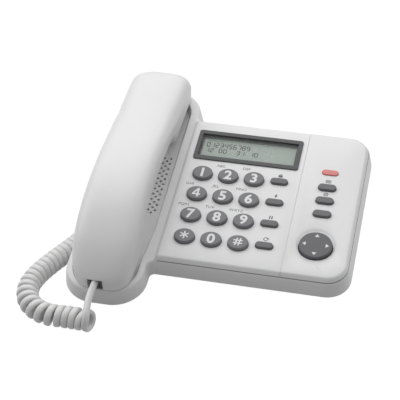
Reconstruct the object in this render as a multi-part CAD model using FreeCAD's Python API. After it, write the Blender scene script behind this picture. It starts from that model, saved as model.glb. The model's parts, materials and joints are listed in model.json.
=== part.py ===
import FreeCAD
import Part
import math
import os

# Corded desk telephone. Lengths are in millimetres.
# The base leans back: its face plate lies in the panel frame, whose origin is the centre of key 1 on the face
# plate's top, with x to the right, y up the slope and z out of the panel. The table frame has z up.

# Lean and thickness of the base
panel_tilt = 14.0
case_height = 15.0
deck_drop = 3.5
side_draft = 1.8
case_wall = 2.2
front_clearance = 2.0
rim_fillet = 1.2

# Plan of the base, in the panel frame
case_right = 113.5
case_front = -81.0
case_back = 55.5
case_corner = 16.5
cradle_left = -74.8
cradle_right = -19.2
cradle_front = -111.3
cradle_back = 85.0
cradle_front_corner = 22.0
cradle_back_right = -13.5
cradle_back_corner = 25.5
cradle_back_left_corner = 27.0
inner_corner = 3.5

# Cradle trough, loudspeaker holes and hook opening
trough_depth = 5.0
trough_slope = 2.4
trough_rim = 5.3
trough_front_rim = 1.9
trough_back_rim = 3.0
trough_left_rim = 5.5
trough_side_corner = 9.0
trough_front_turn = 3.0
trough_back_turn = 5.0
trough_flare = 30.0
grille_right = -27.5
grille_back = 18.5
grille_columns = 6
grille_rows = 11
grille_column_step = 2.45
grille_row_step = 4.95
grille_hole = 1.9
hook_x = -40.0
hook_y = 58.0
hook_diameter = 8.0
hook_clearance = 0.3
hook_travel = 4.0
hook_flange = 1.5
hook_thickness = 1.5
rest_pad_diameter = 8.0
rest_pad_spread = 10.0
rest_pad_front = -92.0
rest_pad_back = 69.0

# Face plate
plate_left = -16.6
plate_draft = 2.0
plate_seat_inset = 0.5
plate_thickness = 2.2
plate_left_corner = 1.2
plate_fillet = 0.9
plate_seat = 4.0
panel_groove_x = 68.1
panel_groove_width = 0.6
panel_groove_depth = 0.45

# Keys
dial_pitch_x = 18.2
dial_pitch_y = 19.4
dial_key_width = 14.0
dial_key_length = 12.0
dial_key_height = 2.6
small_key_x = 53.9
small_key_offset = 1.1
small_key_width = 12.0
small_key_length = 5.2
small_key_height = 1.9
right_column_x = 87.3
right_key_first = 0.9
right_key_pitch = 12.1
right_key_width = 12.4
right_key_length = 5.6
key_flange = 1.1
key_flange_thickness = 1.2
key_clearance = 0.3
key_stop_gap = 0.2
key_travel = 1.2
key_fillet = 0.9
pill_fillet = 0.7

# Navigation key
nav_x = 87.4
nav_y = -51.9
nav_diameter = 22.2
nav_height = 2.3
nav_clearance = 0.6
nav_tilt_room = 1.35
nav_recess_depth = 0.8
nav_recess_margin = 0.8
nav_flange = 1.0
nav_dish_margin = 2.2
nav_dish_depth = 1.1
nav_pivot_diameter = 4.0
nav_pivot_height = 1.4

# Display and lamp
display_x = 27.2
display_y = 28.0
opening_width = 66.8
opening_length = 19.0
opening_corner = 0.6
bezel_side_border = 4.1
bezel_end_border = 4.65
bezel_corner = 1.8
bezel_height = 0.9
bezel_flange = 1.5
window_thickness = 1.0
window_step = 1.2
window_drop = 1.4
lcd_margin = 1.5
lcd_thickness = 1.6
lcd_strip_width = 2.5
lamp_y = 15.4
lamp_width = 11.4
lamp_length = 4.7
lamp_height = 0.9

# Board and rubber mat under the panel
mat_gap = 0.6
mat_thickness = 1.2
board_thickness = 1.6
board_margin = 9.5
boss_diameter = 5.0
boss_places = [(9.1, -9.7), (9.1, -48.5), (70.8, -5.0), (70.8, -45.0)]
led_diameter = 3.0
board_corner = 2.0
board_right_room = 3.0
chip_places = [(47.0, -24.0), (27.0, 25.0)]
chip_width = 16.0
chip_length = 11.0
chip_height = 2.0
capacitor_offset = 3.3
capacitor_spread = 6.0
capacitor_diameter = 8.0
capacitor_height = 6.0

# Bottom case, in the table frame
foot_height = 2.0
foot_diameter = 13.0
foot_margin = 10.0
tray_side_inset = 11.0
tray_left_inset = 22.8
tray_front_setback = 40.0
tray_back_inset = 11.5
tray_lobe_width = 30.0
tray_lobe_length = 26.0
tray_corner = 9.0
tray_lobe_corner = 6.0
seam_gap = 0.2
flange_gap = 0.4
flange_thickness = 2.2

# Screws
screw_shank = 2.6
screw_head = 5.2
screw_head_height = 1.6
screw_fit = 0.05
case_boss = 6.4
case_boss_inset = 7.6
cradle_screw_front = -70.0
cradle_screw_back = 45.0
screw_end_room = 0.5
screw_end_cover = 0.8

# Loudspeaker and ballast
speaker_x = -32.3
speaker_y = -6.5
speaker_diameter = 31.0
speaker_rim = 2.0
speaker_depth = 10.5
magnet_diameter = 19.0
magnet_height = 4.5
ballast_width = 74.0
ballast_length = 56.0
ballast_thickness = 4.0
ballast_corner = 3.0
ballast_offset = 8.0
hook_switch_width = 14.0

# Sockets and plugs
line_socket_x = 34.0
line_socket_width = 9.9
line_socket_height = 6.8
cord_socket_y = 62.0
cord_socket_width = 7.9
cord_socket_height = 6.8
socket_depth = 11.0
socket_wall = 1.8
plug_fit = 0.15
socket_lift = 0.1
plug_end_room = 1.0

# Handset: stations along its length as (y, half width, underside, top), in the panel frame
handset_x = -46.0
handset_stations = [
    (-108.6, 9.5, -3.4, 3.4),
    (-107.2, 13.2, -5.0, 7.0),
    (-103.5, 17.3, -6.3, 12.0),
    (-98.0, 19.8, -7.0, 17.4),
    (-90.0, 21.2, -7.0, 23.4),
    (-80.0, 21.6, -5.4, 28.8),
    (-72.0, 21.5, 0.4, 32.2),
    (-64.0, 21.3, 7.4, 34.8),
    (-54.0, 21.1, 11.6, 36.8),
    (-40.0, 21.0, 13.5, 37.6),
    (-20.0, 21.0, 13.3, 36.0),
    (0.0, 21.1, 11.0, 32.8),
    (16.0, 21.3, 8.0, 29.6),
    (26.0, 21.4, 4.4, 27.6),
    (34.0, 21.5, -2.4, 26.1),
    (42.0, 21.8, -6.4, 24.8),
    (56.0, 22.1, -7.0, 22.7),
    (68.0, 22.2, -7.0, 20.8),
    (75.0, 21.6, -6.7, 19.2),
    (79.0, 20.0, -5.8, 17.4),
    (81.6, 17.4, -4.4, 15.0),
    (83.0, 13.6, -2.4, 12.0),
]
handset_crown = 12.0
handset_wall = 2.2
handset_upper_power = 3.0
handset_lower_power = 4.5
parting_line = [
    (-118.0, 2.0),
    (-96.0, 5.0),
    (-64.0, 17.0),
    (-36.0, 21.5),
    (0.0, 18.0),
    (40.0, 9.0),
    (95.0, 2.0),
]
seat_gap = 0.3
cradle_gap = 0.5
receiver_y = 57.0
receiver_diameter = 25.0
receiver_gap = 1.2
receiver_height = 9.0
receiver_back_share = 0.6
receiver_seal_width = 3.5
receiver_seal_height = 0.8
ear_hole = 2.0
ear_hole_ring = 6.0
mouth_y = -81.0
mouth_hole = 1.8
mouth_hole_spread = 5.0
mouth_hole_lead = 4.0
microphone_diameter = 9.7
microphone_height = 6.0
boot_wall = 1.6
weight_width = 16.0
weight_length = 46.0
weight_thickness = 5.0
weight_corner = 2.0
weight_y = -20.0
handset_screw_places = [13.0, -57.0]
handset_screw_reach = 9.0
handset_screw_seat = 0.6
handset_post_gap = 1.0
notch_x = -48.4
notch_width = 10.4
notch_height = 8.0
notch_z = 1.2
notch_back = -97.0
plug_stand_out = 3.4
handset_plug_depth = 6.6

# Curly cord, in the table frame: axis of the coil, right end first
cord_diameter = 4.0
coil_radius = 5.5
coil_inner_pitch = 4.5
coil_route = [
    (-67.0, -119.4, 8.4),
    (-80.0, -118.3, 7.6),
    (-93.0, -119.4, 7.5),
    (-104.0, -114.5, 7.5),
    (-111.5, -105.5, 7.5),
    (-114.6, -93.5, 7.5),
    (-113.0, -81.0, 7.5),
    (-107.8, -66.0, 7.5),
    (-99.3, -47.5, 7.5),
    (-92.5, -30.0, 7.5),
    (-90.5, -10.0, 7.5),
    (-92.0, 12.0, 7.5),
    (-97.0, 35.0, 7.8),
    (-102.0, 56.0, 9.4),
]
coil_end_quarter = 2
lead_run = 8.5
base_plug_stand_out = 1.6

# Derived sizes and levels
bezel_width = opening_width + 2 * bezel_side_border
bezel_length = opening_length + 2 * bezel_end_border
deck_level = -deck_drop
case_bottom = -case_height
trough_floor = deck_level - trough_depth
panel_underside = -plate_thickness
flange_top = panel_underside - key_stop_gap
mat_top = flange_top - key_flange_thickness - key_travel - mat_gap
mat_bottom = mat_top - mat_thickness
board_bottom = mat_bottom - board_thickness

# Table frame of the panel: the case's lowest front edge stands at the front clearance
tilt = math.radians(panel_tilt)
lift = front_clearance - cradle_front * math.sin(tilt) + case_height * math.cos(tilt)
reach_front = handset_stations[0][0] * math.cos(tilt) - handset_stations[0][3] * math.sin(tilt)
reach_back = cradle_back * math.cos(tilt) - case_bottom * math.sin(tilt)
shift_x = -(cradle_left + case_right) / 2
shift_y = -(reach_front + reach_back) / 2
panel_frame = FreeCAD.Placement(
    FreeCAD.Vector(shift_x, shift_y, lift),
    FreeCAD.Rotation(FreeCAD.Vector(1, 0, 0), panel_tilt),
)

solids = {}


def vector(x, y, z):
    return FreeCAD.Vector(x, y, z)


def on_table(shape):
    """A shape of the panel frame, set in the table frame."""
    return shape.transformed(panel_frame.toMatrix())


def table_point(x, y, z):
    return panel_frame.multVec(vector(x, y, z))


def rounded_wire(corners, level):
    """Closed wire at one height through corners of (x, y, radius)."""
    arcs = []
    count = len(corners)
    for index in range(count):
        x, y, radius = corners[index]
        corner = vector(x, y, level)
        before = vector(*corners[index - 1][:2], level) - corner
        after = vector(*corners[(index + 1) % count][:2], level) - corner
        before.normalize()
        after.normalize()
        half = before.getAngle(after) / 2
        reach = radius / math.tan(half)
        bisector = before + after
        bisector.normalize()
        middle = corner + bisector * (radius / math.sin(half) - radius)
        arcs.append((corner + before * reach, middle, corner + after * reach))
    edges = []
    for index in range(count):
        start, middle, end = arcs[index]
        edges.append(Part.Arc(start, middle, end).toShape())
        following = arcs[(index + 1) % count][0]
        if (following - end).Length > 1e-4:
            edges.append(Part.LineSegment(end, following).toShape())
    return Part.Wire(edges)


def inset(corners, distance):
    """Corners of the outline moved inwards by a distance; the outline runs anticlockwise."""
    count = len(corners)
    moved = []
    for index in range(count):
        x, y, radius = corners[index]
        x0, y0 = corners[index - 1][:2]
        x1, y1 = corners[(index + 1) % count][:2]
        length0 = math.hypot(x - x0, y - y0)
        length1 = math.hypot(x1 - x, y1 - y)
        ux, uy = (x - x0) / length0, (y - y0) / length0
        vx, vy = (x1 - x) / length1, (y1 - y) / length1
        cross = ux * vy - uy * vx
        share = distance / (1 + ux * vx + uy * vy)
        turned = radius - distance if cross > 0 else radius + distance
        moved.append((x - (uy + vy) * share, y + (ux + vx) * share, max(turned, 0.4)))
    return moved


def prism(corners, low, high):
    return Part.Face(rounded_wire(corners, low)).extrude(vector(0, 0, high - low))


def taper(low_corners, low, high_corners, high):
    return Part.makeLoft([rounded_wire(low_corners, low), rounded_wire(high_corners, high)], True, True)


def rounded_taper(low_corners, low, high_corners, high, radius):
    """Taper whose upper edge is turned over in two facets."""
    turn = radius * (1 - math.sqrt(0.5))
    share = radius / (high - low)
    drawn = []
    for first, second in zip(low_corners, high_corners):
        drawn.append(tuple(a + (b - a) * (1 - share) for a, b in zip(first, second)))
    layers = [(low_corners, low), (drawn, high - radius), (inset(high_corners, turn), high - turn),
              (inset(high_corners, radius), high)]
    return Part.makeLoft([rounded_wire(corners, level) for corners, level in layers], True, True)


def rectangle(x, y, width, length, radius):
    return [
        (x - width / 2, y - length / 2, radius),
        (x + width / 2, y - length / 2, radius),
        (x + width / 2, y + length / 2, radius),
        (x - width / 2, y + length / 2, radius),
    ]


def box(low, high):
    size = vector(*high) - vector(*low)
    return Part.makeBox(size.x, size.y, size.z, vector(*low))


def cylinder(x, y, low, high, diameter):
    return Part.makeCylinder(diameter / 2, high - low, vector(x, y, low))


def pill(x, y, low, high, width, length):
    """Upright solid with straight long sides and round ends."""
    return prism(rectangle(x, y, width, length, length / 2 - 0.001), low, high)


def oval(x, y, low, high, width, length):
    ellipse = Part.Ellipse(vector(x, y, low), width / 2, length / 2)
    return Part.Face(Part.Wire(ellipse.toShape())).extrude(vector(0, 0, high - low))


def edges_at(shape, level):
    """Edges that lie flat at a height."""
    flat = []
    for edge in shape.Edges:
        bounds = edge.BoundBox
        if abs(bounds.ZMin - level) < 1e-5 and abs(bounds.ZMax - level) < 1e-5:
            flat.append(edge)
    return flat


def fuse_all(shapes):
    return shapes[0].multiFuse(shapes[1:]).removeSplitter()


def cut_all(shape, tools):
    return shape.cut(Part.makeCompound(tools))


# Outline of the base at its lower edge
case_outline = [
    (cradle_left, cradle_front, cradle_front_corner),
    (cradle_right, cradle_front, cradle_front_corner),
    (cradle_right, case_front, inner_corner),
    (case_right, case_front, case_corner),
    (case_right, case_back, case_corner),
    (cradle_back_right, case_back, inner_corner),
    (cradle_back_right, cradle_back, cradle_back_corner),
    (cradle_left, cradle_back, cradle_back_left_corner),
]
deck_outline = inset(case_outline, side_draft)
trough_left = cradle_left + trough_left_rim
trough_right = cradle_right - trough_rim
trough_flank = cradle_right - trough_slope
trough_front = cradle_front + side_draft + trough_front_rim
trough_back = cradle_back - side_draft - trough_back_rim
trough_front_corner = cradle_front_corner - trough_front_turn
trough_back_corner = cradle_back_left_corner - trough_back_turn
trough_outline = [
    (trough_left, trough_front, trough_front_corner),
    (trough_right, trough_front, trough_front_corner),
    (trough_right, case_front, trough_side_corner),
    (trough_flank, case_front + trough_flare, trough_side_corner),
    (trough_flank, trough_back, trough_back_corner),
    (trough_left, trough_back, trough_back_corner),
]
plate_right = case_right - side_draft - plate_seat_inset
plate_front = case_front + side_draft + plate_seat_inset
plate_back = case_back - side_draft - plate_seat_inset
plate_corner = case_corner - side_draft - plate_seat_inset
plate_outline = [
    (plate_left, plate_front, plate_left_corner),
    (plate_right, plate_front, plate_corner),
    (plate_right, plate_back, plate_corner),
    (plate_left, plate_back, plate_left_corner),
]
screw_top_right = deck_level - case_wall - screw_end_room
screw_top_left = trough_floor - screw_end_cover - screw_end_room
case_screw_places = [
    (case_right - case_boss_inset, case_front + case_corner, screw_top_right),
    (case_right - case_boss_inset, case_back - case_corner, screw_top_right),
    (cradle_left + case_boss_inset, cradle_screw_front, screw_top_left),
    (cradle_left + case_boss_inset, cradle_screw_back, screw_top_left),
]

dial_names = ["1", "2", "3", "4", "5", "6", "7", "8", "9", "star", "0", "hash"]
small_names = ["lock", "flash", "pause", "redial"]
right_names = ["function", "mute", "enter"]
dial_places = {}
for number, name in enumerate(dial_names):
    dial_places[name] = (number % 3 * dial_pitch_x, -(number // 3) * dial_pitch_y)
small_places = {}
for number, name in enumerate(small_names):
    small_places[name] = (small_key_x, small_key_offset - number * dial_pitch_y)
right_places = {}
for number, name in enumerate(right_names):
    right_places[name] = (right_column_x, right_key_first - number * right_key_pitch)


def underside(y):
    """Height of the handset's underside at a station between the listed ones."""
    for first, second in zip(handset_stations, handset_stations[1:]):
        if first[0] <= y <= second[0]:
            share = (y - first[0]) / (second[0] - first[0])
            return first[2] + share * (second[2] - first[2])
    return handset_stations[-1][2]


def make_upper_case():
    outer = rounded_taper(case_outline, case_bottom, deck_outline, deck_level, rim_fillet)
    ceiling = deck_level - case_wall
    cavity = taper(inset(case_outline, case_wall), case_bottom, inset(deck_outline, case_wall), ceiling)
    tub_outline = inset(trough_outline, -case_wall)
    tub_floor = trough_floor - case_wall
    tub = taper(inset(tub_outline, trough_slope), tub_floor, tub_outline, deck_level - rim_fillet)
    trough = taper(inset(trough_outline, trough_slope), trough_floor, trough_outline, deck_level)
    trough = trough.fuse(prism(trough_outline, deck_level, 1.0))
    boss_low = case_bottom + flange_thickness
    bosses = [cylinder(x, y, boss_low, ceiling, case_boss) for x, y, top in case_screw_places]
    window = prism(inset(plate_outline, plate_seat), ceiling - 1.0, 1.0)
    holes = []
    for column in range(grille_columns):
        for row in range(grille_rows):
            x = grille_right - column * grille_column_step
            y = grille_back - (row + column % 2 / 2) * grille_row_step
            holes.append(cylinder(x, y, tub_floor - 1.0, trough_floor + 1.0, grille_hole))
    holes.append(cylinder(hook_x, hook_y, tub_floor - 1.0, 1.0, hook_diameter + 2 * hook_clearance))
    pilot = screw_shank + 2 * screw_fit
    for x, y, top in case_screw_places:
        holes.append(cylinder(x, y, case_bottom, top + screw_end_room, pilot))
    case = outer.cut(cavity).fuse(tub.common(outer)).fuse(bosses)
    case = cut_all(case, [trough, window] + holes)
    pads = []
    for x in (handset_x - rest_pad_spread, handset_x + rest_pad_spread):
        for y in (rest_pad_front, rest_pad_back):
            pads.append(cylinder(x, y, trough_floor - 0.5, underside(y) - seat_gap, rest_pad_diameter))
    return case.fuse(pads).removeSplitter()


def make_face_plate():
    top_outline = inset(plate_outline, plate_draft)
    outer = rounded_taper(plate_outline, deck_level, top_outline, 0.0, plate_fillet)
    inner = taper(inset(plate_outline, panel_groove_depth), deck_level,
                  inset(top_outline, panel_groove_depth), -panel_groove_depth)
    groove = box((panel_groove_x - panel_groove_width / 2, case_front, deck_level),
                 (panel_groove_x + panel_groove_width / 2, case_back, 0.0))
    hollow = taper(inset(plate_outline, case_wall), deck_level,
                   inset(top_outline, case_wall), panel_underside)
    plate = outer.cut(hollow)
    bosses = [cylinder(x, y, mat_bottom, panel_underside, boss_diameter) for x, y in boss_places]
    plate = plate.fuse(bosses)
    low = mat_bottom - 1.0
    cuts = [groove.cut(inner)]
    gap = 2 * key_clearance
    for x, y in dial_places.values():
        cuts.append(oval(x, y, low, 1.0, dial_key_width + gap, dial_key_length + gap))
    for x, y in small_places.values():
        cuts.append(pill(x, y, low, 1.0, small_key_width + gap, small_key_length + gap))
    for x, y in right_places.values():
        cuts.append(pill(x, y, low, 1.0, right_key_width + gap, right_key_length + gap))
    nav_hole = nav_diameter / 2 + nav_clearance
    cuts.append(cylinder(nav_x, nav_y, low, 1.0, 2 * nav_hole))
    dish = Part.makeCone(nav_hole, nav_hole + nav_dish_margin, nav_dish_depth,
                         vector(nav_x, nav_y + nav_dish_margin, -nav_dish_depth))
    cuts.append(dish)
    cuts.append(prism(rectangle(display_x, display_y, bezel_width - 2 * bezel_flange + 2 * seam_gap,
                                bezel_length - 2 * bezel_flange + 2 * seam_gap, bezel_corner), low, 1.0))
    cuts.append(pill(right_column_x, lamp_y, low, 1.0, lamp_width + 2 * seam_gap, lamp_length + 2 * seam_gap))
    pilot = screw_shank + 2 * screw_fit
    for x, y in boss_places:
        cuts.append(cylinder(x, y, mat_bottom - 1.0, panel_underside - 0.6, pilot))
    return cut_all(plate, cuts)


def make_keys():
    flange_low = flange_top - key_flange_thickness
    keys = {}
    for name, (x, y) in dial_places.items():
        cap = oval(x, y, flange_low, dial_key_height, dial_key_width, dial_key_length)
        cap = cap.makeFillet(key_fillet, edges_at(cap, dial_key_height))
        foot = oval(x, y, flange_low, flange_top,
                    dial_key_width + 2 * key_flange, dial_key_length + 2 * key_flange)
        keys[name] = fuse_all([cap, foot])
    pills = []
    for name, place in small_places.items():
        pills.append((name, place, small_key_width, small_key_length))
    for name, place in right_places.items():
        pills.append((name, place, right_key_width, right_key_length))
    for name, (x, y), width, length in pills:
        cap = pill(x, y, flange_low, small_key_height, width, length)
        cap = cap.makeFillet(pill_fillet, edges_at(cap, small_key_height))
        foot = pill(x, y, flange_low, flange_top, width + 2 * key_flange, length + 2 * key_flange)
        keys[name] = fuse_all([cap, foot])
    for name, key in keys.items():
        solids["key_" + name] = on_table(key)


def make_nav_key():
    flange_high = panel_underside - nav_tilt_room
    cap_low = flange_high - nav_flange
    cap = cylinder(nav_x, nav_y, cap_low, nav_height, nav_diameter)
    cap = cap.makeFillet(key_fillet, edges_at(cap, nav_height))
    flange = cylinder(nav_x, nav_y, cap_low, flange_high, nav_diameter + 2 * key_flange)
    pivot_top = mat_top + seam_gap + nav_pivot_height
    socket = cylinder(nav_x, nav_y, cap_low, pivot_top + seam_gap, nav_pivot_diameter + 2.0)
    solids["nav_key"] = on_table(fuse_all([cap, flange]).cut(socket))
    pivot = cylinder(nav_x, nav_y, pivot_top - nav_pivot_height, pivot_top, nav_pivot_diameter)
    solids["nav_pivot"] = on_table(pivot)


def make_display():
    rim = prism(rectangle(display_x, display_y, bezel_width, bezel_length, bezel_corner), 0.0, bezel_height)
    rim = rim.makeFillet(bezel_height / 3, edges_at(rim, bezel_height))
    skirt_width = bezel_width - 2 * bezel_flange
    skirt_length = bezel_length - 2 * bezel_flange
    step = -window_drop
    skirt_low = step - window_step
    skirt_outline = rectangle(display_x, display_y, skirt_width, skirt_length, bezel_corner - seam_gap)
    skirt = prism(skirt_outline, skirt_low, 0.0)
    upper = rectangle(display_x, display_y, opening_width + 2 * window_step,
                      opening_length + 2 * window_step, opening_corner)
    lower = rectangle(display_x, display_y, opening_width, opening_length, opening_corner)
    bezel = fuse_all([rim, skirt]).cut(prism(upper, step, bezel_height)).cut(prism(lower, skirt_low, step))
    solids["display_bezel"] = on_table(bezel)
    window = prism(inset(upper, seam_gap / 2), step, step + window_thickness)
    solids["display_window"] = on_table(window)
    lcd = rectangle(display_x, display_y, opening_width + 2 * lcd_margin,
                    opening_length + 2 * lcd_margin, opening_corner)
    lcd_low = skirt_low - lcd_thickness
    solids["lcd_panel"] = on_table(prism(lcd, lcd_low, skirt_low))
    strips = []
    for side in (-1, 1):
        y = display_y + side * (opening_length / 2 + lcd_margin - lcd_strip_width)
        strips.append(box((display_x - opening_width / 2, y - lcd_strip_width / 2, mat_bottom),
                          (display_x + opening_width / 2, y + lcd_strip_width / 2, lcd_low)))
    solids["lcd_connectors"] = on_table(Part.makeCompound(strips))


def make_lamp():
    lens = pill(right_column_x, lamp_y, panel_underside, lamp_height, lamp_width, lamp_length)
    lens = lens.makeFillet(lamp_height / 2, edges_at(lens, lamp_height))
    flange_low = panel_underside - key_flange_thickness
    flange = pill(right_column_x, lamp_y, flange_low, panel_underside,
                  lamp_width + 2 * key_flange, lamp_length + 2 * key_flange)
    solids["lamp_lens"] = on_table(fuse_all([lens, flange]))
    led = cylinder(right_column_x, lamp_y, mat_bottom, flange_low - seam_gap, led_diameter)
    solids["lamp_led"] = on_table(led)


def make_board():
    left = -board_margin
    right = right_column_x + board_margin + board_right_room
    front = -3 * dial_pitch_y - board_margin
    mat_back = right_key_first + board_margin
    board_back = display_y + bezel_length / 2
    mat_outline = rectangle((left + right) / 2, (front + mat_back) / 2, right - left,
                            mat_back - front, board_corner)
    mat = prism(mat_outline, mat_bottom, mat_top)
    recess_low = mat_top - nav_recess_depth
    recess = cylinder(nav_x, nav_y, recess_low, mat_top,
                      nav_diameter + 2 * key_flange + 2 * nav_recess_margin)
    recess = recess.cut(cylinder(nav_x, nav_y, recess_low, mat_top, nav_pivot_diameter + 2 * nav_recess_margin))
    mat = mat.cut(recess)
    openings = [cylinder(x, y, mat_bottom, mat_top, boss_diameter + 1.0) for x, y in boss_places]
    solids["keypad_mat"] = on_table(cut_all(mat, openings))
    board_outline = rectangle((left + right) / 2, (front + board_back) / 2, right - left,
                              board_back - front, board_corner)
    board = prism(board_outline, board_bottom, mat_bottom)
    through = screw_shank + 2 * screw_fit
    board = cut_all(board, [cylinder(x, y, board_bottom, mat_bottom, through) for x, y in boss_places])
    chips = []
    for x, y in chip_places:
        chips.append(box((x - chip_width / 2, y - chip_length / 2, board_bottom - chip_height),
                         (x + chip_width / 2, y + chip_length / 2, board_bottom)))
    for side in (-1, 1):
        chips.append(cylinder(nav_x - capacitor_offset, nav_y + side * capacitor_spread,
                              board_bottom - capacitor_height, board_bottom, capacitor_diameter))
    solids["main_board"] = on_table(fuse_all([board] + chips))
    screws = []
    for x, y in boss_places:
        head = cylinder(x, y, board_bottom - screw_head_height, board_bottom, screw_head)
        screws.append(fuse_all([head, cylinder(x, y, board_bottom, panel_underside - 1.2, screw_shank)]))
    solids["board_screws"] = on_table(Part.makeCompound(screws))


def make_loudspeaker():
    top = trough_floor - case_wall
    basket_low = top - speaker_depth + magnet_height
    rim = cylinder(speaker_x, speaker_y, top - speaker_rim, top, speaker_diameter)
    basket = Part.makeCone(magnet_diameter / 2, speaker_diameter / 2 - 1.5, top - speaker_rim - basket_low,
                           vector(speaker_x, speaker_y, basket_low))
    magnet = cylinder(speaker_x, speaker_y, top - speaker_depth, basket_low, magnet_diameter)
    solids["loudspeaker"] = on_table(fuse_all([rim, basket, magnet]))


def make_hook():
    ceiling = trough_floor - case_wall
    flange_high = ceiling - hook_travel - hook_clearance
    flange_low = flange_high - hook_thickness
    top = underside(hook_y) - seat_gap
    stem = cylinder(hook_x, hook_y, flange_low, top, hook_diameter)
    stem = stem.makeFillet(1.0, edges_at(stem, top))
    flange = cylinder(hook_x, hook_y, flange_low, flange_high, hook_diameter + 2 * hook_flange)
    solids["hook_plunger"] = on_table(fuse_all([stem, flange]))
    floor = flange_low - hook_clearance
    half = hook_switch_width / 2
    housing = box((hook_x - half, hook_y - half, floor - case_wall), (hook_x + half, hook_y + half, ceiling))
    bore = cylinder(hook_x, hook_y, floor, ceiling, hook_diameter + 2 * hook_flange + 2 * hook_clearance)
    solids["hook_switch"] = on_table(housing.cut(bore))


def socket_block(x, y, z, width, height, direction):
    """Socket housing with its mouth at (x, y, z), facing along a table axis."""
    half = width / 2 + socket_wall
    low = -height / 2 - socket_wall
    block = box((-half, -socket_depth - socket_wall, low), (half, 0.0, height / 2 + socket_wall))
    hole = box((-width / 2, -socket_depth, -height / 2), (width / 2, 0.0, height / 2))
    turned = block.cut(hole)
    turned.rotate(vector(0, 0, 0), vector(0, 0, 1), direction)
    turned.translate(vector(x, y, z))
    return turned


# Plan of the bottom case, in the table frame
tray_left = cradle_left + shift_x + tray_left_inset
tray_right = case_right + shift_x - tray_side_inset
tray_front = table_point(0, cradle_front + tray_front_setback, case_bottom).y
tray_back = table_point(0, case_back, case_bottom).y - tray_back_inset
tray_outline = [
    (tray_left, tray_front, tray_corner),
    (tray_right, tray_front, tray_corner),
    (tray_right, tray_back, tray_corner),
    (tray_left + tray_lobe_width, tray_back, tray_lobe_corner),
    (tray_left + tray_lobe_width, tray_back + tray_lobe_length, tray_corner),
    (tray_left, tray_back + tray_lobe_length, tray_corner),
]
tray_floor = foot_height + case_wall
socket_z = tray_floor + socket_lift + socket_wall + cord_socket_height / 2
line_socket_z = tray_floor + socket_lift + socket_wall + line_socket_height / 2


def make_bottom_case():
    flange_high = case_bottom + flange_thickness
    wall_lean = side_draft * flange_thickness / (case_height - deck_drop - case_wall)
    flange_outline = inset(case_outline, case_wall + wall_lean + flange_gap)
    flange = on_table(prism(flange_outline, case_bottom, flange_high))
    below = on_table(Part.makeBox(600, 600, 300, vector(-300, -300, flange_high - 300)))
    tray = prism(tray_outline, foot_height, 120.0).common(below)
    hollow = prism(inset(tray_outline, case_wall), tray_floor, 120.0)
    cuts = [hollow]
    for x, y, top in case_screw_places:
        cuts.append(on_table(cylinder(x, y, case_bottom, flange_high, screw_shank + 2 * screw_fit)))
    half = line_socket_width / 2 + socket_wall + seam_gap
    rise = line_socket_height / 2 + socket_wall + seam_gap
    cuts.append(box((line_socket_x - half, tray_back - case_wall, line_socket_z - rise),
                    (line_socket_x + half, tray_back, line_socket_z + rise)))
    half = cord_socket_width / 2 + socket_wall + seam_gap
    rise = cord_socket_height / 2 + socket_wall + seam_gap
    cuts.append(box((tray_left, cord_socket_y - half, socket_z - rise),
                    (tray_left + case_wall, cord_socket_y + half, socket_z + rise)))
    solids["bottom_case"] = cut_all(flange.fuse(tray), cuts).removeSplitter()
    foot_left = tray_left + foot_margin
    foot_right = tray_right - foot_margin
    foot_front = tray_front + foot_margin
    foot_back = tray_back - foot_margin
    feet = []
    for x, y in ((foot_left, foot_front), (foot_right, foot_front), (foot_right, foot_back),
                 (foot_left, foot_back + tray_lobe_length)):
        feet.append(cylinder(x, y, 0.0, foot_height, foot_diameter))
    solids["rubber_feet"] = Part.makeCompound(feet)
    screws = []
    for x, y, top in case_screw_places:
        head = cylinder(x, y, case_bottom - screw_head_height, case_bottom, screw_head)
        screws.append(fuse_all([head, cylinder(x, y, case_bottom, top, screw_shank)]))
    solids["case_screws"] = on_table(Part.makeCompound(screws))
    ballast = rectangle((tray_left + tray_right) / 2 + ballast_offset, (tray_front + tray_back) / 2,
                        ballast_width, ballast_length, ballast_corner)
    solids["ballast_plate"] = prism(ballast, tray_floor, tray_floor + ballast_thickness)
    solids["line_socket"] = socket_block(line_socket_x, tray_back, line_socket_z, line_socket_width,
                                         line_socket_height, 0)
    solids["cord_socket"] = socket_block(tray_left, cord_socket_y, socket_z, cord_socket_width,
                                         cord_socket_height, 90)


def handset_section(y, half, low, high, wall):
    """Closed smooth section of the handset, drawn in by a wall."""
    half = half - wall
    low = low + wall
    high = high - wall
    middle = max(high - handset_crown + wall, (low + high) / 2)
    points = []
    steps = 20
    for step in range(steps):
        angle = 2 * math.pi * step / steps
        cosine = math.cos(angle)
        sine = math.sin(angle)
        power = handset_upper_power if sine >= 0 else handset_lower_power
        rise = high - middle if sine >= 0 else middle - low
        x = math.copysign(abs(cosine) ** (2 / power), cosine) * half
        z = math.copysign(abs(sine) ** (2 / power), sine) * rise
        points.append(vector(handset_x + x, y, middle + z))
    curve = Part.BSplineCurve()
    curve.interpolate(points, PeriodicFlag=True)
    return Part.Wire(curve.toShape())


def cradle_room(gap):
    """Space over the cradle: above its deck and in its trough, clear of both by a gap."""
    level = deck_level + gap
    above = box((handset_x - 60, 2 * cradle_front, level), (handset_x + 60, 2 * cradle_back, 120.0))
    trough = taper(inset(trough_outline, trough_slope + gap), trough_floor + gap,
                   inset(trough_outline, gap), level)
    return above.fuse(trough)


def handset_form(wall):
    stations = handset_stations if wall == 0 else handset_stations[2:-2]
    form = Part.makeLoft([handset_section(*station, wall) for station in stations], True, False)
    return form.common(cradle_room(cradle_gap + wall))


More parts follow.
